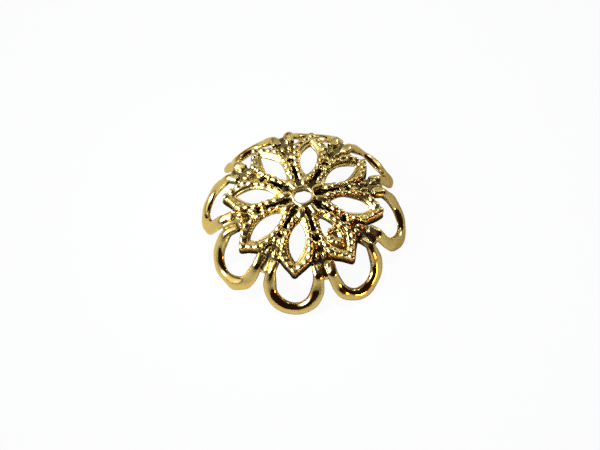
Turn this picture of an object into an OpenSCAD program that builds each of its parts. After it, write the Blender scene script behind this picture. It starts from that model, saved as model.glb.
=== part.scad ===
// Bead cap: a cast flower dome with eight pierced petals and eight scallop loops.
// It is one casting, so it is one solid. Millimetres, dome up, the loops' flats on z = 0,
// the thread hole on the z axis and the first petal towards -y.

/* [Thread hole] */
// Diameter of the hole for the thread or head pin
bore_d = 1.0; // [0.7:0.1:1.4]
// Width of the smooth collar round the hole
collar_w = 0.24; // [0.16:0.02:0.4]

/* [Dome] */
// Thickness of the metal along the petals' edges and under the loops' arms
edge_t = 0.6; // [0.5:0.05:0.8]
// Thickness of the metal round the openings, where the underside is hollowed
skin_t = 0.34; // [0.28:0.02:0.4]
// How far the hollows reach past the openings and the collar
hollow_w = 0.3; // [0.2:0.05:0.4]
// How far the dome falls from its middle to the petals' tips
dome_fall = 0.94; // [0.6:0.05:1.4]
// How far the webs between the petals lie below the petals' tops
web_drop = 0.18; // [0.1:0.02:0.24]

/* [Petals] */
// How many petals, each with its own opening and its own loop
petals = 8; // [7:1:9]
// Length of an opening along its petal
slot_l = 2.29; // [1.8:0.05:2.8]
// Width of an opening across its petal
slot_w = 0.95; // [0.6:0.05:1.1]
// Solid metal between the collar and an opening
neck_l = 0.83; // [0.6:0.05:1.2]
// Solid metal between an opening and its petal's tip
tip_l = 0.78; // [0.7:0.02:1.2]
// Radius that blunts the petals' tips
tip_round = 0.2; // [0.1:0.02:0.3]
// Width of a petal at its shoulders
petal_w = 2.0; // [1.8:0.05:2.2]
// Radius of the bow of a petal's long sides
side_r = 5.7; // [5:0.1:8]

/* [Relief] */
// Width and depth of the slope round each opening
flare = 0.2; // [0.1:0.02:0.22]
// Height of the collar over the petals' tops
rim_h = 0.09; // [0.05:0.01:0.15]
// Diameter of the grains along the petals' edges
grain_d = 0.28; // [0.2:0.02:0.3]
// Distance from grain to grain
grain_pitch = 0.36; // [0.33:0.01:0.5]
// Diameter of the grains in the webs
web_grain_d = 0.34; // [0.24:0.02:0.4]

/* [Blocked opening] */
// Length of the blocked opening that stays open
open_l = 1.03; // [0.6:0.05:1.6]
// How far the lumpy metal in it lies below the petal's top
block_drop = 0.14; // [0.05:0.01:0.24]

/* [Loops] */
// Width of a loop's bar at its round end
bar_d = 0.8; // [0.6:0.05:1]
// Width of a loop's arms where they leave the web
neck_d = 0.6; // [0.5:0.02:0.8]
// Thickness of a loop's bar, square to the plane that the loop lies in
bar_t = 0.4; // [0.35:0.05:0.6]
// Radius of a loop's round end, at the middle of its bar
loop_r = 1.386; // [1.2:0.02:1.45]
// Length of a loop's straight arms
arm_l = 1.0; // [0.7:0.05:1.4]
// Slope of the loops below level, in degrees
loop_slope = 58.6; // [45:0.2:75]
// How far inside the petals' tips the arms start
arm_inset = 0.24; // [0.16:0.02:0.4]
// Depth of the small flats that the loops rest on
foot_flat = 0.04; // [0.02:0.01:0.1]

/* [Hidden] */
$fn = 64;

turn = 360 / petals;
collar_r = bore_d / 2 + collar_w;
slot_mid = collar_r + neck_l + slot_l / 2;
tip_r = collar_r + neck_l + slot_l + tip_l;
sharp_r = tip_r + tip_round * (sqrt(2) - 1);
shoulder_r = sharp_r - petal_w / 2;

// The dome's top is part of a ball that passes through the middle and the petals' tips.
dome_r = (tip_r * tip_r + dome_fall * dome_fall) / (2 * dome_fall);
function fall(r) = dome_r - sqrt(dome_r * dome_r - r * r);

// A loop's arms start in the middle of the wall. Its round end is the lowest thing on the cap.
arm_start_r = tip_r - arm_inset;
bend_r = arm_start_r + arm_l * cos(loop_slope);
bend_fall = fall(norm([arm_start_r, loop_r])) + edge_t / 2 + arm_l * sin(loop_slope);
top_z = bend_fall + loop_r * sin(loop_slope) + bar_d / 2 - foot_flat;
ball_z = top_z - dome_r;

// Radius of the two arcs that bound an almond of length l and width w.
function almond_r(l, w) = (l * l + w * w) / (4 * w);

// Where the two arms that meet in a web start: how far out along the web's middle line,
// and how far to each side of it.
web_r = arm_start_r * cos(turn / 2) + loop_r * sin(turn / 2);
web_half = arm_start_r * sin(turn / 2) - loop_r * cos(turn / 2);
web_w = 2 * web_half + bar_d / 2;

// The opening of the second petal is blocked by lumps: across and along the blocked stretch
// as shares of its width and length, and a lump's diameter as a share of a web grain's.
blocked = 1;
block_from = slot_mid - slot_l / 2 + open_l;
block_l = slot_l - open_l;
LUMPS = [
    [-0.26, 0.06, 0.9], [0.22, 0.02, 1.1], [-0.02, 0.2, 0.8], [0.3, 0.26, 0.8], [-0.3, 0.34, 1],
    [0.06, 0.42, 1.1], [-0.14, 0.62, 0.8], [0.2, 0.66, 0.7], [0.02, 0.84, 0.7]
];

module around() for (i = [0 : petals - 1]) rotate(180 + i * turn) children();
module between() rotate(turn / 2) around() children();

// A column as high as the whole cap, over the plan that it is given.
cap_h = top_z + rim_h + web_grain_d;
module column() linear_extrude(cap_h) children();

// The ball is turned so that its poles are far from the cap.
module ball(r) translate([0, 0, ball_z]) rotate([0, 90, 0]) sphere(r, $fn = 128);

// Puts its child on the dome's top, lowered by drop, at the plan point p.
module on_dome(p, drop = 0) {
    r = dome_r - drop;
    translate([p[0], p[1], ball_z + sqrt(r * r - p[0] * p[0] - p[1] * p[1])]) children();
}

module almond(l, w, grow = 0) {
    r = almond_r(l, w);
    intersection_for (s = [-1, 1]) translate([s * (r - w / 2), 0]) circle(r + grow);
}

module slot(grow = 0) translate([0, slot_mid]) almond(slot_l, slot_w, grow);

// The cut of an opening, square to the dome: straight below, and above that sloping outwards.
slot_r = almond_r(slot_l, slot_w);
slot_tilt = asin(slot_mid / dome_r);
module flared_slot() on_dome([0, slot_mid], flare) rotate([-slot_tilt, 0, 0]) intersection_for (s = [-1, 1])
    translate([s * (slot_r - slot_w / 2), 0]) rotate_extrude()
        polygon([[0, -edge_t], [slot_r, -edge_t], [slot_r, 0], [slot_r + 2 * flare, 2 * flare], [0, 2 * flare]]);

// A petal: two bowed sides and a blunt, square-cornered tip.
module petal(grow = 0) intersection() {
    bowed_sides(grow);
    translate([0, sharp_r + grow * sqrt(2)]) rotate(225) square(2 * sharp_r);
    circle(tip_r + grow);
}

module bowed_sides(grow) intersection_for (s = [-1, 1])
    translate([s * (side_r - petal_w / 2), shoulder_r]) circle(side_r + grow);

// The web: a strip down the middle between two petals, with a round pad for each arm.
pad_d = neck_d + 0.06;
module web() {
    translate([-web_w / 2, 0]) square([web_w, web_r]);
    for (s = [-1, 1]) translate([s * web_half, web_r]) circle(d = pad_d);
}

// The dome's outline. At the tips it stands a little out from under the petals.
tip_step = web_drop / 2;
module plan() {
    circle(shoulder_r - petal_w / 4);
    around() petal(tip_step);
    between() web();
}

// The three levels of the dome, each a plan cut by a ball.
module dome() difference() {
    union() {
        intersection() { ball(dome_r - web_drop); column() plan(); }
        intersection() { ball(dome_r); column() around() petal(); }
        intersection() { ball(dome_r + rim_h); column() circle(collar_r); }
    }
    ball(dome_r - edge_t);
    intersection() { ball(dome_r - skin_t); column() hollows(); }
}

// The underside is hollowed under the collar and under every petal but the blocked one.
module hollows() {
    circle(collar_r + hollow_w);
    for (i = [0 : petals - 1]) if (i != blocked) rotate(180 + i * turn) slot(hollow_w);
}

// The cuts through the petals. In the blocked one a plate of metal stays.
module openings() for (i = [0 : petals - 1]) rotate(180 + i * turn) difference() {
    flared_slot();
    if (i == blocked) intersection() {
        ball(dome_r - block_drop);
        column() translate([-slot_w, block_from]) square([2 * slot_w, slot_l]);
    }
}

module lumps() rotate(180 + blocked * turn) for (l = LUMPS)
    on_dome([l[0] * slot_w, block_from + l[1] * block_l], block_drop) sphere(d = l[2] * web_grain_d);

// A grain row runs inside a petal's edge: along the bowed side, then along the tip's slant.
grain_margin = 0.02;
grain_inset = grain_d / 2 + grain_margin;
row_r = side_r - grain_inset;
row_shoulder = shoulder_r - grain_inset * (sqrt(2) - 1);
row_half = petal_w / 2 - grain_inset;
slant_l = (sharp_r - grain_inset * sqrt(2) - row_shoulder) * sqrt(2);
row_start = collar_r + neck_l * 3 / 4;
row_from = asin((shoulder_r - row_start) / row_r);
side_n = floor(row_r * row_from * PI / 180 / grain_pitch);
slant_n = floor(slant_l / grain_pitch);
function side_point(a) = [row_half - row_r * (1 - cos(a)), shoulder_r - row_r * sin(a)];
function row() = concat(
    [for (i = [0 : side_n]) side_point(row_from * i / side_n)],
    [for (i = [1 : slant_n - 1]) [row_half, row_shoulder] + [-1, 1] * slant_l / sqrt(2) * i / slant_n]
);

// Larger grains stand in pairs on the web, from the arms towards the middle, and one on each
// petal's neck, beside the collar.
web_rows = 3;
function web_pair(i) = [web_half / 2 + i * grain_margin, web_r - neck_d - (i + 0.1) * web_grain_d];

module grains() {
    around() {
        for (s = [-1, 1], p = row()) on_dome([s * p[0], p[1]]) sphere(d = grain_d);
        on_dome([0, tip_r - grain_inset - grain_margin]) sphere(d = grain_d);
        on_dome([0, collar_r + web_grain_d], rim_h) sphere(d = web_grain_d);
    }
    between() for (s = [-1, 1], i = [0 : web_rows - 1])
        on_dome([s * web_pair(i)[0], web_pair(i)[1]], web_drop) sphere(d = web_grain_d);
}

// A loop lies in a sloping plane: two straight arms and a round end, a round bar made flat on both faces.
module loop() translate([0, bend_r, top_z - bend_fall]) rotate([-loop_slope, 0, 0]) intersection() {
    union() {
        rotate_extrude(angle = 180) translate([loop_r, 0]) circle(d = bar_d);
        for (s = [-1, 1]) translate([s * loop_r, 0, 0]) {
            rotate([90, 0, 0]) cylinder(d1 = bar_d, d2 = neck_d, h = arm_l);
            translate([0, -arm_l, 0]) sphere(d = neck_d);
        }
    }
    cube([2 * tip_r, 2 * tip_r, bar_t], center = true);
}

module bead_cap() color("goldenrod") difference() {
    union() {
        difference() {
            dome();
            openings();
        }
        grains();
        lumps();
        around() loop();
    }
    cylinder(d = bore_d, h = cap_h);
    translate([0, 0, -sharp_r]) cube([4, 4, 2] * sharp_r, center = true);
}

bead_cap();
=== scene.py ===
import math

import bmesh
import bpy
import numpy as np
from mathutils import Matrix, Vector


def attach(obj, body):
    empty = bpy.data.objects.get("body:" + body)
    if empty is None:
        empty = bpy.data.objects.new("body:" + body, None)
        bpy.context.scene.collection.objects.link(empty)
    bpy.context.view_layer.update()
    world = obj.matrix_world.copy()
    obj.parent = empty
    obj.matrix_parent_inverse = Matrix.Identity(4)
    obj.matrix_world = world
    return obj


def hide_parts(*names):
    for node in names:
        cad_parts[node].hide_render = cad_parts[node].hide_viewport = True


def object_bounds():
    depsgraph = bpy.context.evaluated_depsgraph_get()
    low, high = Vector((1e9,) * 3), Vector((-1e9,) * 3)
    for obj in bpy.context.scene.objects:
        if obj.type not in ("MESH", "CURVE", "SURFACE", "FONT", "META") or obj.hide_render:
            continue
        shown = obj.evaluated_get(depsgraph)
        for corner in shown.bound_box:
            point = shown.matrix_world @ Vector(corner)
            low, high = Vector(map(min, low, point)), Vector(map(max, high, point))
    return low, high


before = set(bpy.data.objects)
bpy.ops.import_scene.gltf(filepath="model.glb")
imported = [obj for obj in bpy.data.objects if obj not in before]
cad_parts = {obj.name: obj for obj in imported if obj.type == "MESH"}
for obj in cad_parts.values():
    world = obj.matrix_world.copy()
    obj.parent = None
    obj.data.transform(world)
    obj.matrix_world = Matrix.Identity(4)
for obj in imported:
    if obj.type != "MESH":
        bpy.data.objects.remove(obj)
CAD_BOX = [list(corner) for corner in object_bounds()]
# The cap's own sizes are in millimetres and are scaled at the end. All others are in metres.
MM = 0.001

# Camera
# The photograph looks down on the cap at about 61 degrees through a long lens, so it shows almost no
# perspective. The camera is placed so that the dome's middle falls on the same pixel.
PHOTO_WIDTH, PHOTO_HEIGHT = 600, 450
APEX_PIXEL = (302.5, 197.2)
# Size of a pixel at the cap, and how far the point that is matched lies below the cap's top.
PIXEL = 0.05777 * MM
APEX_BELOW_TOP = 0.332 * MM
CAMERA_ELEVATION, CAMERA_AZIMUTH, CAMERA_ROLL = map(math.radians, (61.05, 7.83, -1.48))
CAMERA_DISTANCE = 600 * MM
SENSOR = 36.0
FARTHEST_SEEN = 10.0


def photo_camera():
    """Camera whose picture plane passes through the dome's apex. The lens is as many times longer than
    the sensor as the camera's distance is longer than a row of the photograph's pixels at the cap."""
    level = Vector((math.cos(CAMERA_AZIMUTH), math.sin(CAMERA_AZIMUTH), 0))
    ahead = Vector((-math.sin(CAMERA_AZIMUTH), math.cos(CAMERA_AZIMUTH), 0))
    upright = ahead * math.sin(CAMERA_ELEVATION) + Vector((0, 0, math.cos(CAMERA_ELEVATION)))
    right = level * math.cos(CAMERA_ROLL) + upright * math.sin(CAMERA_ROLL)
    up = upright * math.cos(CAMERA_ROLL) - level * math.sin(CAMERA_ROLL)
    back = right.cross(up)
    apex = Vector((0, 0, CAD_BOX[1][2] - APEX_BELOW_TOP))
    across = APEX_PIXEL[0] - (PHOTO_WIDTH - 1) / 2
    above = (PHOTO_HEIGHT - 1) / 2 - APEX_PIXEL[1]
    middle = apex - right * across * PIXEL - up * above * PIXEL
    lens = bpy.data.cameras.new("camera")
    lens.sensor_width = SENSOR
    lens.lens = SENSOR * CAMERA_DISTANCE / (PHOTO_WIDTH * PIXEL)
    lens.clip_end = FARTHEST_SEEN
    camera = bpy.data.objects.new("camera", lens)
    bpy.context.scene.collection.objects.link(camera)
    camera.matrix_world = Matrix.Translation(middle + back * CAMERA_DISTANCE) @ (
        Matrix((right, up, back)).transposed().to_4x4())
    bpy.context.scene.camera = camera


photo_camera()

# Floor
# A plain white table top, shown almost without shadow. The polished metal mirrors the paper as it is lit,
# with the cap's own shadow on it.
TABLE_SIZE = 0.6
PAPER = (0.29, 0.295, 0.275, 1)
TABLE_WHITE = (1.0, 1.0, 1.0, 1)
SHADOW_SHARE = 0.05


def table_top():
    """Square plane at z = 0. The metal mirrors it as lit paper. To the eye it is an even white, mixed
    with SHADOW_SHARE of that paper."""
    half = TABLE_SIZE / 2
    mesh = bpy.data.meshes.new("table_top")
    corners = [(-half, -half, 0), (half, -half, 0), (half, half, 0), (-half, half, 0)]
    mesh.from_pydata(corners, [], [(0, 1, 2, 3)])
    material = bpy.data.materials.new("table_white")
    material.use_nodes = True
    nodes, links = material.node_tree.nodes, material.node_tree.links
    nodes.clear()
    paper = nodes.new("ShaderNodeBsdfDiffuse")
    paper.inputs["Color"].default_value = PAPER
    glow = nodes.new("ShaderNodeEmission")
    glow.inputs["Color"].default_value = TABLE_WHITE
    path = nodes.new("ShaderNodeLightPath")
    share = nodes.new("ShaderNodeMath")
    share.operation = "MULTIPLY"
    share.inputs[1].default_value = 1 - SHADOW_SHARE
    links.new(path.outputs["Is Camera Ray"], share.inputs[0])
    table = nodes.new("ShaderNodeMixShader")
    links.new(share.outputs[0], table.inputs["Fac"])
    links.new(paper.outputs[0], table.inputs[1])
    links.new(glow.outputs[0], table.inputs[2])
    links.new(table.outputs[0], nodes.new("ShaderNodeOutputMaterial").inputs["Surface"])
    mesh.materials.append(material)
    floor = bpy.data.objects.new("table_top", mesh)
    bpy.context.scene.collection.objects.link(floor)


table_top()

# Studio
# A dark room, with a window on the left that has a bright core, pale screens and small lights behind, a
# lamp overhead for the paper and a small warm lamp low at the right front. The polished metal mirrors all
# of them but the lamp overhead.
ROOM = (0.022, 0.010, 0.006, 1)
# Columns: direction, half angle and softness of the edge in degrees, colour.
WINDOWS = [
    ((0.15, 0.85, 0.52), 30, 8, (0.42, 0.44, 0.43, 1)),
    ((-0.70, 0.42, 0.58), 18, 10, (0.9, 0.95, 0.98, 1)),
    ((-0.85, -0.20, 0.50), 34, 10, (1.2, 1.3, 1.36, 1)),
    ((-0.81, -0.34, 0.50), 17, 4, (22.0, 25.5, 34.0, 1)),
    ((-0.25, 0.75, 0.66), 5, 3, (2.6, 3.0, 3.8, 1)),
    ((0.45, 0.50, 0.74), 4, 3, (4.0, 4.6, 6.0, 1)),
    ((0.64, 0.75, 0.22), 12, 4, (1.1, 1.2, 1.3, 1)),
    ((0.64, 0.75, 0.22), 4, 2, (14.0, 16.5, 22.0, 1)),
]
# Share of the windows' light that reaches the paper.
PAPER_SHARE = 0.15
# The lamp overhead: the direction it shines from, the middle of its pool of light on the table, its
# distance to that, the pool's radius, its own radius, its power and how soft the pool's edge is.
LAMP_FROM = (-0.15, 0.15, 1.0)
LAMP_AT = (-3.0 * MM, -1.0 * MM, 0)
LAMP_DISTANCE = 200 * MM
LAMP_POOL = 17.0 * MM
LAMP_R = 12 * MM
LAMP_POWER = 3.6
LAMP_BLEND = 0.6
WARM_AT = (17.0 * MM, -12.5 * MM, 1.0 * MM)
WARM_R = 1.7 * MM
WARM_POWER = 0.0075
WARM_COLOUR = (1.0, 0.23, 0.025)


def room_and_windows():
    """World colour by direction: the room, then each window over it, where the cosine of the angle
    between the direction and the window's own is large enough, with a smooth edge."""
    world = bpy.data.worlds.new("studio")
    bpy.context.scene.world = world
    world.use_nodes = True
    nodes, links = world.node_tree.nodes, world.node_tree.links
    background = nodes["Background"]
    place = nodes.new("ShaderNodeTexCoord")
    colour = None
    for direction, half, soft, light in WINDOWS:
        near = nodes.new("ShaderNodeVectorMath")
        near.operation = "DOT_PRODUCT"
        links.new(place.outputs["Generated"], near.inputs[0])
        near.inputs[1].default_value = Vector(direction).normalized()
        edge = nodes.new("ShaderNodeMapRange")
        edge.interpolation_type = "SMOOTHSTEP"
        edge.inputs["From Min"].default_value = math.cos(math.radians(half + soft))
        edge.inputs["From Max"].default_value = math.cos(math.radians(half - soft))
        links.new(near.outputs["Value"], edge.inputs["Value"])
        mix = nodes.new("ShaderNodeMix")
        mix.data_type = "RGBA"
        links.new(edge.outputs["Result"], mix.inputs["Factor"])
        if colour is None:
            mix.inputs["A"].default_value = ROOM
        else:
            links.new(colour, mix.inputs["A"])
        mix.inputs["B"].default_value = light
        colour = mix.outputs["Result"]
    links.new(colour, background.inputs["Color"])
    path = nodes.new("ShaderNodeLightPath")
    strength = nodes.new("ShaderNodeMath")
    strength.operation = "MULTIPLY_ADD"
    strength.inputs[1].default_value = PAPER_SHARE - 1
    strength.inputs[2].default_value = 1
    links.new(path.outputs["Is Diffuse Ray"], strength.inputs[0])
    links.new(strength.outputs[0], background.inputs["Strength"])


def paper_lamp():
    """Spot lamp at LAMP_DISTANCE from LAMP_AT, turned to it. Its cone meets the table in the pool."""
    away = Vector(LAMP_FROM).normalized()
    lamp = bpy.data.lights.new("paper_lamp", "SPOT")
    lamp.energy = LAMP_POWER
    lamp.spot_size = 2 * math.atan(LAMP_POOL / LAMP_DISTANCE)
    lamp.spot_blend = LAMP_BLEND
    lamp.shadow_soft_size = LAMP_R
    hung = bpy.data.objects.new("paper_lamp", lamp)
    hung.matrix_world = Matrix.Translation(Vector(LAMP_AT) + away * LAMP_DISTANCE) @ (
        away.to_track_quat("Z", "Y").to_matrix().to_4x4())
    hung.visible_glossy = False
    bpy.context.scene.collection.objects.link(hung)


def warm_lamp():
    """Small lamp that only the polished metal shows, as orange glints."""
    lamp = bpy.data.lights.new("warm_lamp", "POINT")
    lamp.energy = WARM_POWER
    lamp.color = WARM_COLOUR
    lamp.shadow_soft_size = WARM_R
    stood = bpy.data.objects.new("warm_lamp", lamp)
    stood.location = WARM_AT
    stood.visible_diffuse = False
    stood.visible_camera = False
    bpy.context.scene.collection.objects.link(stood)


room_and_windows()
paper_lamp()
warm_lamp()
bpy.context.scene.view_settings.view_transform = "Standard"

# Petals
# The top of the casting is a shallow dome of eight pointed petals. Each is a flat frame round an
# almond opening, with a thin round rim along the opening and a drop to the webs at its edge.
PETALS = 8
BORE_R = 0.5
COLLAR_W = 0.24
COLLAR_R = BORE_R + COLLAR_W
DOME_R = 11.92
RIM_H = 0.09
BALL_Z = CAD_BOX[1][2] / MM - math.sqrt((DOME_R + RIM_H) ** 2 - BORE_R ** 2)
SLOT_L, SLOT_W = 2.29, 0.95
ALMOND_R = (SLOT_L ** 2 + SLOT_W ** 2) / (4 * SLOT_W)
# Solid metal between the collar and an opening, and between the opening and its petal's tip.
NECK_L, TIP_L = 0.83, 0.78
SLOT_MID = COLLAR_R + NECK_L + SLOT_L / 2
# Radius that blunts a tip, and how far a sharp tip would stand out past it.
TIP_ROUND = 0.2
TIP_LOST = TIP_ROUND * (math.sqrt(2) - 1)
SHARP_R = SLOT_MID + SLOT_L / 2 + TIP_L + TIP_LOST
PETAL_W = 1.94
SHOULDER_R = SHARP_R - PETAL_W / 2
SIDE_R = 5.7
# A petal's sides end this far from the axis, clear of the thread hole.
NECK_FROM = 1.15
# Thickness of the metal along the petals' edges and round the openings.
EDGE_T, SKIN_T = 0.6, 0.34
PETAL_STEPS, TIP_STEPS = 160, 12
BLOCKED = 1

casting_parts = []


def petal_turn(index):
    """Angle of petal index: petal 0 points at -y and the rest follow anticlockwise from above."""
    return math.pi + index * 2 * math.pi / PETALS


def turned(points, angle):
    """Points turned about the cap's axis."""
    c, s = math.cos(angle), math.sin(angle)
    return np.stack([c * points[..., 0] - s * points[..., 1], s * points[..., 0] + c * points[..., 1],
                     points[..., 2]], -1)


def on_dome(plan, height):
    """Points over plan points, on the ball of the petals' tops grown by height."""
    squared = plan[..., 0] ** 2 + plan[..., 1] ** 2
    return np.concatenate([plan, (BALL_Z + np.sqrt((DOME_R + height) ** 2 - squared))[..., None]], -1)


def mirrored(right):
    """Closed loop from its right half, which starts and ends on the middle line."""
    return np.concatenate([right[:-1], right[:0:-1] * (-1, 1)])


def even_steps(points, count):
    """The same line with count points at equal distances along it."""
    length = np.concatenate([[0], np.cumsum(np.linalg.norm(np.diff(points, axis=0), axis=1))])
    wanted = np.linspace(0, length[-1], count)
    return np.stack([np.interp(wanted, length, points[:, k]) for k in range(points.shape[1])], -1)


def arc(centre, radius, start, stop, count=40):
    """Plan points on a circle from angle start to angle stop."""
    angle = np.linspace(start, stop, count)
    return np.stack([centre[0] + radius * np.cos(angle), centre[1] + radius * np.sin(angle)], -1)


def slot_line(grow):
    """Almond loop of an opening: two equal arcs that meet on the middle line, moved outwards by grow."""
    centre = SLOT_W / 2 - ALMOND_R
    reach = math.acos(-centre / (ALMOND_R + grow))
    return mirrored(arc((centre, SLOT_MID), ALMOND_R + grow, reach, -reach, PETAL_STEPS // 2 + 1))


def petal_line(grow):
    """Loop of a petal's edge moved outwards by grow: round tip, 45 degree slant, bowed side, inner point
    held clear of the thread hole."""
    blunt = (0, SHARP_R - TIP_ROUND * math.sqrt(2))
    tip = arc(blunt, TIP_ROUND + grow, math.pi / 2, math.pi / 4, TIP_STEPS)
    centre, radius = (PETAL_W / 2 - SIDE_R, SHOULDER_R), SIDE_R + grow
    shoulder = math.asin(grow * (math.sqrt(2) - 1) / radius)
    side = arc(centre, radius, shoulder, -math.acos(-centre[0] / radius))
    side[:, 1] = np.maximum(side[:, 1], NECK_FROM)
    return mirrored(even_steps(np.concatenate([tip, side]), PETAL_STEPS // 2 + 1))


def skin(rings, joined):
    """Closed skin over a grid of points: each ring of the grid closes on itself, and the last ring is
    joined to the first, or each end ring is closed with a point at its middle."""
    count, around = rings.shape[:2]
    index = np.arange(count * around).reshape(count, around)
    onward = np.roll(index, -1, axis=1)
    if joined:
        rows, nexts = index, np.roll(index, -1, axis=0)
        rows_on, nexts_on = onward, np.roll(onward, -1, axis=0)
    else:
        rows, nexts, rows_on, nexts_on = index[:-1], index[1:], onward[:-1], onward[1:]
    faces = np.stack([rows, rows_on, nexts_on, nexts], -1).reshape(-1, 4).tolist()
    points = rings.reshape(-1, 3)
    if not joined:
        low, high = count * around, count * around + 1
        points = np.concatenate([points, rings[[0, -1]].mean(axis=1)])
        faces += [[low, b, a] for a, b in zip(index[0].tolist(), onward[0].tolist())]
        faces += [[high, a, b] for a, b in zip(index[-1].tolist(), onward[-1].tolist())]
    return points, faces


# Columns: how far the line is moved outwards, height over the dome. They run from the opening's lower
# edge up its slope to the crest, and from the grain track down the outer wall to the underside.
SLOPE = [(0, -SKIN_T), (0, -0.25), (0.015, -0.2), (0.045, -0.17), (0.08, -0.175), (0.11, -0.2),
         (0.135, -0.195), (0.16, -0.155), (0.22, -0.06), (0.25, -0.04)]
EDGE = [(-0.24, -0.035), (-0.06, -0.04), (-0.005, -0.075), (0.012, -0.14), (0.0, -0.26), (-0.005, -0.42),
        (0.0, -0.5), (0.04, -0.53), (0.05, -0.57), (0.03, -EDGE_T)]
UNDERSIDE = [(-0.14, -EDGE_T)]
HOLLOW = [(0.3, -EDGE_T), (0.28, -SKIN_T)]
SOLID = [(0.2, -EDGE_T), (0, -EDGE_T)]


def petal_frame(below):
    """Frame of a petal: the profile above carried round the opening and closed by the lines of below."""
    slope = [on_dome(slot_line(grow), height) for grow, height in SLOPE]
    edge = [on_dome(petal_line(grow), height) for grow, height in EDGE + UNDERSIDE]
    return np.stack(slope + edge + [on_dome(slot_line(grow), height) for grow, height in below])


def plate(out, half, top, bottom):
    """Plate along a middle line: a rounded flat section carried outwards, with its half width and the
    heights of its faces over the dome given along the line."""
    across = np.array([-1, -1, -0.9, -0.5, 0, 0.5, 0.9, 1, 1, 0.5, 0, -0.5])
    rise = np.array([0, 0.7, 1, 1, 1, 1, 1, 0.7, 0, 0, 0, 0])
    plan = np.stack([half[:, None] * across, np.broadcast_to(out[:, None], (len(out), len(across)))], -1)
    return on_dome(plan, bottom + rise * (top[:, None] - bottom))


for index in range(PETALS):
    rings = petal_frame(SOLID if index == BLOCKED else HOLLOW)
    casting_parts.append(skin(turned(rings, petal_turn(index)), joined=True))

# The outer part of one opening was never cleared: a plate of metal fills it, with lumps on top. Given are
# the length that stays open, the plate's depth, and how far its end and its sides reach under the frame.
OPEN_L = 1.03
BLOCK_DROP = 0.14
END_UNDER, SIDE_UNDER = 0.05, 0.12
BLOCK_STEPS = 30
BLOCK_FROM = SLOT_MID - SLOT_L / 2 + OPEN_L
out = np.linspace(BLOCK_FROM, SLOT_MID + SLOT_L / 2 + END_UNDER, BLOCK_STEPS)
half = np.sqrt(ALMOND_R ** 2 - (out - SLOT_MID) ** 2) - ALMOND_R + SLOT_W / 2 + SIDE_UNDER
block = plate(out, half, np.full(BLOCK_STEPS, -BLOCK_DROP), -EDGE_T)
casting_parts.append(skin(turned(block, petal_turn(BLOCKED)), joined=False))

# Webs
# Between two petals the metal lies lower, cast in one with them. Each web widens outwards and carries the
# arms of two loops.
ARM_INSET = 0.24
ARM_START_R = SHARP_R - TIP_LOST - ARM_INSET
LOOP_R = 1.386
WEB_STEPS = 60
# Where two arms start: how far out along the web's middle line, and how far to each side of it.
WEB_R = ARM_START_R * math.cos(math.pi / PETALS) + LOOP_R * math.sin(math.pi / PETALS)
WEB_HALF = ARM_START_R * math.sin(math.pi / PETALS) - LOOP_R * math.cos(math.pi / PETALS)
# Columns: distance from the axis, half width, drop below the petals' tops.
WEB_EDGE = np.array([
    (0.6, 0.26, 0.3), (1.2, 0.28, 0.42), (2.0, 0.28, 0.42), (2.7, 0.38, 0.36), (3.2, 0.55, 0.28),
    (WEB_R - 0.1, WEB_HALF + 0.22, 0.22), (WEB_R + 0.12, WEB_HALF + 0.1, 0.26),
    (WEB_R + 0.2, WEB_HALF - 0.1, 0.32),
])
out = np.linspace(WEB_EDGE[0, 0], WEB_EDGE[-1, 0], WEB_STEPS)
half = np.interp(out, WEB_EDGE[:, 0], WEB_EDGE[:, 1])
web = plate(out, half, -np.interp(out, WEB_EDGE[:, 0], WEB_EDGE[:, 2]), -EDGE_T)
for index in range(PETALS):
    casting_parts.append(skin(turned(web, petal_turn(index + 0.5)), joined=False))

# Collar
# A smooth raised ring round the thread hole, cast in one with the dome. The petals' necks run into it,
# and between them the metal lies low.
COLLAR_STEPS = 96
# Columns: distance from the axis, height over the dome.
COLLAR = [(BORE_R, -SKIN_T), (BORE_R, 0.03), (0.515, 0.07), (0.55, RIM_H), (0.61, RIM_H), (0.66, 0.06),
          (0.7, -0.02), (0.73, -0.17), (0.78, -0.32), (1.45, -0.32), (1.45, -SKIN_T)]
angle = np.linspace(0, 2 * math.pi, COLLAR_STEPS, endpoint=False)
circle = np.stack([np.cos(angle), np.sin(angle)], -1)
collar_rings = np.stack([on_dome(radius * circle, height) for radius, height in COLLAR])
casting_parts.append(skin(collar_rings, joined=True))

# Loops
# Eight polished flat bars, cast in one with the webs and domed on their outer face. Each leaves one web,
# bends down, makes a half turn on the table and comes back up to the next web.
ARM_L = 1.0
LOOP_SLOPE = math.radians(58.6)
BEND_R = ARM_START_R + ARM_L * math.cos(LOOP_SLOPE)
# Width and thickness of a bar at its round end and where it leaves the web.
BAR_D, NECK_D = 0.8, 0.6
BAR_T, NECK_T = 0.42, 0.5
# Share of its thickness that the outer face gains and the inner face loses, and how far the outer face's
# crown is moved towards the loop's middle, as a share of half the width.
BULGE, CROWN = 0.42, 0.12
# Depth of the small flats that the loops stand on.
FOOT_CUT = 0.015
BAR_FALL = math.hypot(BAR_D / 2 * math.sin(LOOP_SLOPE), BAR_T / 2 * (1 - BULGE) * math.cos(LOOP_SLOPE))
BEND_Z = LOOP_R * math.sin(LOOP_SLOPE) + BAR_FALL - FOOT_CUT
# The root of an arm inside the web: its length, how deep its end lies, and how much slimmer it is there.
ROOT_L, ROOT_DROP, ROOT_SLIM = 0.55, 0.36, 0.06
TURN_STEPS, PATH_STEPS, PATH_ROUNDS, BAR_SIDES = 60, 220, 30, 28


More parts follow.
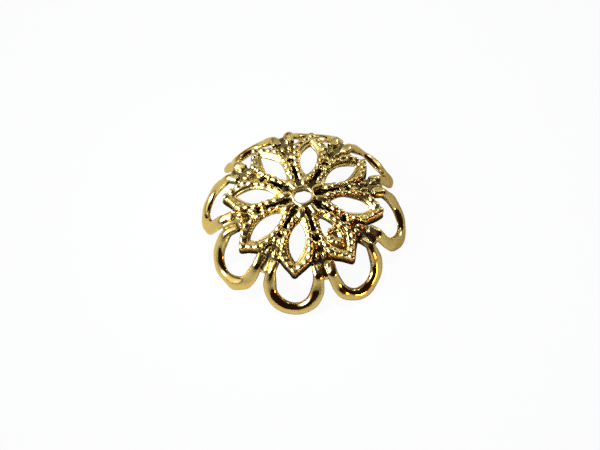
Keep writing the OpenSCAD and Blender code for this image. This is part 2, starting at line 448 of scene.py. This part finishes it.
def loop_path():
    """Middle line of a bar: root in the web, straight arm, half circle, arm and root, with its corners
    rounded by taking the mean of each point and its neighbours again and again."""
    slope_out, slope_down = math.cos(LOOP_SLOPE), math.sin(LOOP_SLOPE)
    turn = np.linspace(0, math.pi, TURN_STEPS)
    half_turn = np.stack([LOOP_R * np.cos(turn), BEND_R + LOOP_R * np.sin(turn) * slope_out,
                          BEND_Z - LOOP_R * np.sin(turn) * slope_down], -1)
    arm = np.array([LOOP_R, ARM_START_R, BEND_Z + ARM_L * slope_down])
    web_way = np.array([math.sin(math.pi / PETALS), math.cos(math.pi / PETALS)])
    right = np.stack([on_dome(arm[:2] - ROOT_L * web_way, -ROOT_DROP), arm])
    left = right[::-1] * (-1, 1, 1)
    path = even_steps(np.concatenate([right, half_turn, left]), PATH_STEPS)
    for _ in range(PATH_ROUNDS):
        path[1:-1] = (path[:-2] + 2 * path[1:-1] + path[2:]) / 4
    return path


def loop_bar(path):
    """Flat bar along a path. Its section, square to the path, is an ellipse whose width grows along the
    arm. It bulges more on its outer face, with the crown of that face moved towards the loop's middle."""
    along = np.gradient(path, axis=0)
    along /= np.linalg.norm(along, axis=1)[:, None]
    square = np.cross(along, (0, math.sin(LOOP_SLOPE), math.cos(LOOP_SLOPE)))
    square /= np.linalg.norm(square, axis=1)[:, None]
    other = np.cross(square, along)
    run = np.concatenate([[0], np.cumsum(np.linalg.norm(np.diff(path, axis=0), axis=1))])
    from_end = np.minimum(run, run[-1] - run)
    stations = [0, ROOT_L, ROOT_L + ARM_L]
    half_wide = np.interp(from_end, stations, [NECK_D / 2 - ROOT_SLIM, NECK_D / 2, BAR_D / 2])[:, None]
    half_thick = np.interp(from_end, stations, [NECK_T / 2, NECK_T / 2, BAR_T / 2])[:, None]
    round_bar = np.linspace(0, 2 * math.pi, BAR_SIDES, endpoint=False)
    outward = np.sin(round_bar)
    wide = half_wide * (np.cos(round_bar) - CROWN * np.maximum(outward, 0) ** 2)
    thick = half_thick * outward * np.where(outward > 0, 1 + BULGE, 1 - BULGE)
    return path[:, None] + wide[..., None] * square[:, None] + thick[..., None] * other[:, None]


loop_rings = loop_bar(loop_path())
for index in range(PETALS):
    casting_parts.append(skin(turned(loop_rings, petal_turn(index)), joined=False))

# Grains
# Small round grains, cast with the dome, stand in a row inside each petal's edge. Larger ones stand on
# the webs, on the arms' roots and on the petals' necks.
GRAIN_PITCH = 0.41
GRAIN_INSET = 0.135
# Bare neck between the collar and the first grains of a petal.
NECK_BARE = 0.8
# A row's grain: radius and how that varies, then half its length, width and height in such radii.
GRAIN_R, GRAIN_VARIES = 0.162, (0.9, 1.1)
GRAIN_LONG, GRAIN_WIDE, GRAIN_HIGH = (1.1, 1.4), 1.05, 0.75
# The same for the pairs on the webs, and how far they lean to the side.
PAIR_R, PAIR_VARIES = 0.16, (0.92, 1.1)
PAIR_LONG, PAIR_HIGH = (1.6, 1.9), 1.15
PAIR_LEAN = (-0.15, 0.3)
# Columns: how far inside the arms' roots a pair stands, and how far each grain is from the middle.
WEB_PAIRS = [(0.3, 0.27), (0.95, 0.2), (1.6, 0.15)]
# The grain on an arm's root: half sizes, how far past the root it stands, sideways and outwards, its lean.
ARM_GRAIN, ARM_GRAIN_PAST, ARM_GRAIN_LEAN = (0.22, 0.16, 0.17), (0.04, 0.14), 0.4
# The grain that ends a web at the middle: half sizes, and how far inside the arms' roots it stands.
END_GRAIN, END_GRAIN_INSIDE = (0.26, 0.13, 0.17), 2.2
# The grain on a petal's neck: half length, which varies, half width and height, distance to the collar.
NECK_LONG, NECK_WIDE, NECK_HIGH, NECK_PAST = (0.42, 0.48), 0.24, 0.2, 0.3
# Heights over the dome of the middles of the row, pair, arm, end and neck grains.
ROW_Z, PAIR_Z, ARM_Z, END_Z, NECK_Z = -0.035, -0.22, -0.27, -0.24, -0.1
GRAIN_RINGS, GRAIN_SIDES = 7, 12
random = np.random.default_rng(7)


def grain(radii):
    """Rings of a unit ball between its poles, stretched by radii along x, y and z."""
    down = np.linspace(0, math.pi, GRAIN_RINGS + 2)[1:-1]
    turn = np.linspace(0, 2 * math.pi, GRAIN_SIDES, endpoint=False)
    ball = np.stack([np.sin(down)[:, None] * np.cos(turn), np.sin(down)[:, None] * np.sin(turn),
                     np.broadcast_to(np.cos(down)[:, None], (GRAIN_RINGS, GRAIN_SIDES))], -1)
    return ball * radii


def set_grain(plan, height, along, radii, angle):
    """Grain on the dome at a plan point, its first radius along the plan direction."""
    centre = on_dome(np.array(plan), height)
    upward = (centre - (0, 0, BALL_Z)) / (DOME_R + height)
    first = np.array([along[0], along[1], 0.0])
    first -= upward * first.dot(upward)
    first /= np.linalg.norm(first)
    second = np.cross(upward, first)
    points = centre + grain(radii) @ np.stack([first, second, upward])
    casting_parts.append(skin(turned(points, angle), joined=False))


track = petal_line(-GRAIN_INSET)[:PETAL_STEPS // 2 + 1]
track = track[np.hypot(*track.T) > COLLAR_R + NECK_BARE]
row = even_steps(track, round(np.linalg.norm(np.diff(track, axis=0), axis=1).sum() / GRAIN_PITCH) + 1)
row_way = np.gradient(row, axis=0)


def petal_row(angle, side):
    """One side's row of a petal. The grain at the tip belongs to the right row only."""
    first = 1 if side < 0 else 0
    for place, way in zip(row[first:], row_way[first:]):
        size = GRAIN_R * random.uniform(*GRAIN_VARIES)
        radii = (size * random.uniform(*GRAIN_LONG), size * GRAIN_WIDE, size * GRAIN_HIGH)
        set_grain((side * place[0], place[1]), ROW_Z, (side * way[0], way[1]), radii, angle)


def web_grains(angle, side):
    """One side's grains of a web: oval ones leaning inwards or outwards, and one on the arm's root."""
    for inward, beside in WEB_PAIRS:
        size = PAIR_R * random.uniform(*PAIR_VARIES)
        way = (side * random.uniform(*PAIR_LEAN), 1)
        radii = (size * random.uniform(*PAIR_LONG), size, size * PAIR_HIGH)
        set_grain((side * beside, WEB_R - inward), PAIR_Z, way, radii, angle)
    root = (side * (WEB_HALF + ARM_GRAIN_PAST[0]), WEB_R + ARM_GRAIN_PAST[1])
    set_grain(root, ARM_Z, (side * ARM_GRAIN_LEAN, 1), ARM_GRAIN, angle)


for index in range(PETALS):
    for side in (-1, 1):
        petal_row(petal_turn(index), side)
    for side in (-1, 1):
        web_grains(petal_turn(index + 0.5), side)
    set_grain((0, WEB_R - END_GRAIN_INSIDE), END_Z, (0, 1), END_GRAIN, petal_turn(index + 0.5))
    neck_grain = (random.uniform(*NECK_LONG), NECK_WIDE, NECK_HIGH)
    set_grain((0, COLLAR_R + NECK_PAST), NECK_Z, (0, 1), neck_grain, petal_turn(index))

# Lumps of the blocked opening, longer than wide and each turned another way. Columns: where they lie
# across and along it, their radius, how far they rise.
LUMPS = [
    (-0.3, 0.0, 0.13, 0.02), (-0.12, 0.1, 0.12, 0.06), (0.1, 0.02, 0.14, 0.03), (0.3, 0.08, 0.12, 0.05),
    (-0.34, 0.3, 0.14, 0.04), (0.33, 0.36, 0.13, 0.05), (-0.3, 0.58, 0.15, 0.03), (-0.12, 0.78, 0.13, 0.04),
    (0.12, 0.82, 0.15, 0.05), (0.3, 0.62, 0.12, 0.04), (0.0, 1.02, 0.12, 0.03),
]
LUMP_LONG = 1.35
for across, along, size, rise in LUMPS:
    set_grain((across, BLOCK_FROM + along), rise - BLOCK_DROP, (across + 0.3, 0.5 - along),
              (size * LUMP_LONG, size, size), petal_turn(BLOCKED))

# Casting
# All of it is one piece of brass, cast and plated with gold: the parts are fused into one skin, and the
# corners and the grains' feet are softened as plating softens them.
CUBE = 0.036
# Rounds of softening, how far each moves a point towards its neighbours, and triangles kept after it.
SOFTEN_ROUNDS, SOFTEN_SHARE = 6, 0.5
FACES_KEPT = 190000
# Columns: wavelength and height of the waves that casting and polishing leave in the surface.
WAVES = [(1.3, 0.028), (0.6, 0.003)]
# Sine waves for each wavelength, and the number that their common height is divided by.
WAVE_SINES, WAVE_SHARE = 10, 3
# Painted shade in the recesses: heights over the dome where a recess is still bright and where it is
# darkest, and how dark that is.
RECESS_TOP, RECESS_FLOOR, RECESS_SHARE = -0.05, -0.16, 0.64
# Distances from the axis over which the relief gives way to the polished loops, and distances from an
# opening over which the painted shade of the recesses begins.
RELIEF_ENDS = (4.68, 4.8)
RECESS_BESIDE = (0.2, 0.27)
# Painted shade on the walls: they turn dark from the first height to the second, but what faces down, by
# the slope of its normal, is bright again.
WALL_TOP, WALL_FLOOR = -0.2, -0.38
WALL_FACING = (-0.7, -0.4)
# Colours of the relief, which mix in a cloud, of the polished loops, of all gold seen at a low angle, and
# of the painted shade. The relief's golds are a lighter copy and the loops' gold a darker copy of one gold:
# painted light and painted shade.
LIT_RELIEF_GOLD, LIT_RELIEF_PALE_GOLD = (0.90, 0.635, 0.205, 1), (0.95, 0.695, 0.235, 1)
SHADED_LOOP_GOLD = (0.75, 0.51, 0.155, 1)
GOLD_EDGE = (0.92, 0.8, 0.55, 1)
# Near-black colour of the painted shade.
SHADE_COLOUR = (0.016, 0.008, 0.003, 1)


def gold():
    """Polished gold plating: painted darker on the loops and lighter in the relief, with painted shade in
    the recesses and walls, softer in the relief, and with the faint unevenness of a casting."""
    material = bpy.data.materials.new("gold_plate")
    material.use_nodes = True
    nodes, links = material.node_tree.nodes, material.node_tree.links
    shader = nodes["Principled BSDF"]
    shader.inputs["Metallic"].default_value = 1.0
    shader.inputs["Specular Tint"].default_value = GOLD_EDGE
    place = nodes.new("ShaderNodeTexCoord")
    recess_shade = nodes.new("ShaderNodeAttribute")
    recess_shade.attribute_name = "recess_shade"
    relief = nodes.new("ShaderNodeAttribute")
    relief.attribute_name = "relief"
    cloud = nodes.new("ShaderNodeTexNoise")
    cloud.inputs["Scale"].default_value = 900.0
    cloud.inputs["Detail"].default_value = 3.0
    links.new(place.outputs["Object"], cloud.inputs["Vector"])
    tone = nodes.new("ShaderNodeMix")
    tone.data_type = "RGBA"
    tone.inputs["A"].default_value = LIT_RELIEF_GOLD
    tone.inputs["B"].default_value = LIT_RELIEF_PALE_GOLD
    links.new(cloud.outputs["Fac"], tone.inputs["Factor"])
    plated = nodes.new("ShaderNodeMix")
    plated.data_type = "RGBA"
    # Painted shade and light: the loops' gold is a darker copy and the relief's a lighter copy of one gold.
    plated.inputs["A"].default_value = SHADED_LOOP_GOLD
    links.new(relief.outputs["Fac"], plated.inputs["Factor"])
    links.new(tone.outputs["Result"], plated.inputs["B"])
    dark = nodes.new("ShaderNodeMix")
    dark.data_type = "RGBA"
    # Painted shade: the mask mixes the recesses and walls towards a near-black colour.
    dark.inputs["B"].default_value = SHADE_COLOUR
    links.new(recess_shade.outputs["Fac"], dark.inputs["Factor"])
    links.new(plated.outputs["Result"], dark.inputs["A"])
    links.new(dark.outputs["Result"], shader.inputs["Base Color"])
    dull = nodes.new("ShaderNodeMapRange")
    dull.inputs["To Min"].default_value = 0.04
    dull.inputs["To Max"].default_value = 0.10
    links.new(cloud.outputs["Fac"], dull.inputs["Value"])
    soft = nodes.new("ShaderNodeMath")
    soft.operation = "MULTIPLY_ADD"
    soft.inputs[1].default_value = 0.2
    links.new(relief.outputs["Fac"], soft.inputs[0])
    links.new(dull.outputs["Result"], soft.inputs[2])
    links.new(soft.outputs[0], shader.inputs["Roughness"])
    fine = nodes.new("ShaderNodeTexNoise")
    fine.inputs["Scale"].default_value = 3500.0
    fine.inputs["Detail"].default_value = 2.0
    links.new(place.outputs["Object"], fine.inputs["Vector"])
    bump = nodes.new("ShaderNodeBump")
    bump.inputs["Strength"].default_value = 0.25
    bump.inputs["Distance"].default_value = 0.002 * MM
    links.new(fine.outputs["Fac"], bump.inputs["Height"])
    links.new(bump.outputs["Normal"], shader.inputs["Normal"])
    return material


def smooth_step(value, start, stop):
    """0 before start and 1 after stop, with a smooth cubic between."""
    share = np.clip((value - start) / (stop - start), 0, 1)
    return share * share * (3 - 2 * share)


def waves(points):
    """Smooth noise: for each wavelength, the sum of equal sine waves in random directions."""
    total = np.zeros(len(points))
    for length, height in WAVES:
        for _ in range(WAVE_SINES):
            direction = random.normal(size=3)
            direction *= 2 * math.pi / (length * np.linalg.norm(direction))
            total += height / WAVE_SHARE * np.sin(points @ direction + random.uniform(0, 2 * math.pi))
    return total


def beyond_opening(points):
    """How far outside the edge of the nearest petal's opening each point lies, seen from above: its
    distance to the centre of the arc on its side, less the arc's radius."""
    step = 2 * math.pi / PETALS
    around = np.arctan2(points[:, 0], -points[:, 1])
    away = np.hypot(points[:, 0], points[:, 1])
    around -= step * np.round(around / step)
    across, along = away * np.abs(np.sin(around)), away * np.cos(around) - SLOT_MID
    return np.hypot(across + ALMOND_R - SLOT_W / 2, along) - ALMOND_R


def painted_shade(points, normals, inside):
    """How much painted shade each point gets, times inside: a share where it lies low and away from the
    openings, all where it lies lower still, on the walls, and nothing where it faces down."""
    height = np.linalg.norm(points - (0, 0, BALL_Z), axis=1) - DOME_R
    groove = smooth_step(beyond_opening(points), *RECESS_BESIDE)
    shallow = RECESS_SHARE * groove * (1 - smooth_step(height, RECESS_FLOOR, RECESS_TOP))
    wall = 1 - smooth_step(height, WALL_FLOOR, WALL_TOP)
    facing = smooth_step(normals[:, 2], *WALL_FACING)
    return inside * facing * (shallow + (1 - shallow) * wall)


def work_in(piece):
    """Puts the mesh that a piece's modifiers make in the place of its own, and returns it."""
    made = bpy.data.meshes.new_from_object(piece.evaluated_get(bpy.context.evaluated_depsgraph_get()))
    piece.modifiers.clear()
    piece.data = made
    return made


def drop_strays(mesh):
    """Deletes the loose pairs of triangles, back to back, that thinning leaves: their corners have only
    those two faces."""
    editable = bmesh.new()
    editable.from_mesh(mesh)
    strays = [vertex for vertex in editable.verts
              if len(vertex.link_faces) < 3 and all(len(face.verts) == 3 for face in vertex.link_faces)]
    bmesh.ops.delete(editable, geom=strays, context="VERTS")
    editable.to_mesh(mesh)
    editable.free()


def vertex_rows(mesh, name):
    """Place or normal of each vertex, a row for each."""
    values = np.empty(len(mesh.vertices) * 3)
    mesh.vertices.foreach_get(name, values)
    return values.reshape(-1, 3)


def fused_casting():
    """Skin round all the parts, in millimetres: the outer faces of a grid of cubes, smoothed and thinned.
    The waves then move each point along its normal, and the whole is scaled to metres."""
    points = np.concatenate([p for p, _ in casting_parts])
    faces, first = [], 0
    for part, part_faces in casting_parts:
        faces += [[first + k for k in face] for face in part_faces]
        first += len(part)
    mesh = bpy.data.meshes.new("bead_cap_casting")
    mesh.from_pydata(points.tolist(), [], faces)
    casting = bpy.data.objects.new("bead_cap_casting", mesh)
    bpy.context.scene.collection.objects.link(casting)
    fuse = casting.modifiers.new("fuse", "REMESH")
    fuse.mode = "VOXEL"
    fuse.voxel_size = CUBE
    fuse.use_smooth_shade = True
    soften = casting.modifiers.new("soften", "SMOOTH")
    soften.factor = SOFTEN_SHARE
    soften.iterations = SOFTEN_ROUNDS
    made = work_in(casting)
    # The faces are squares, and thinning counts each as two triangles.
    thin = casting.modifiers.new("thin", "DECIMATE")
    thin.ratio = FACES_KEPT / (2 * len(made.polygons))
    made = work_in(casting)
    drop_strays(made)
    place, normal = vertex_rows(made, "co"), vertex_rows(made, "normal")
    inside = 1 - smooth_step(np.hypot(place[:, 0], place[:, 1]), *RELIEF_ENDS)
    # Painted shade: the mask of how dark each point is made, handed to the material as an attribute.
    recess_shade = made.attributes.new("recess_shade", "FLOAT", "POINT")
    recess_shade.data.foreach_set("value", painted_shade(place, normal, inside))
    relief = made.attributes.new("relief", "FLOAT", "POINT")
    relief.data.foreach_set("value", inside)
    place += normal * waves(place)[:, None]
    place[:, 2] = np.maximum(place[:, 2], 0)
    made.vertices.foreach_set("co", (place * MM).ravel())
    made.update()
    made.materials.append(gold())
    return casting


casting = fused_casting()
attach(casting, "root")
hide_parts("bead_cap")
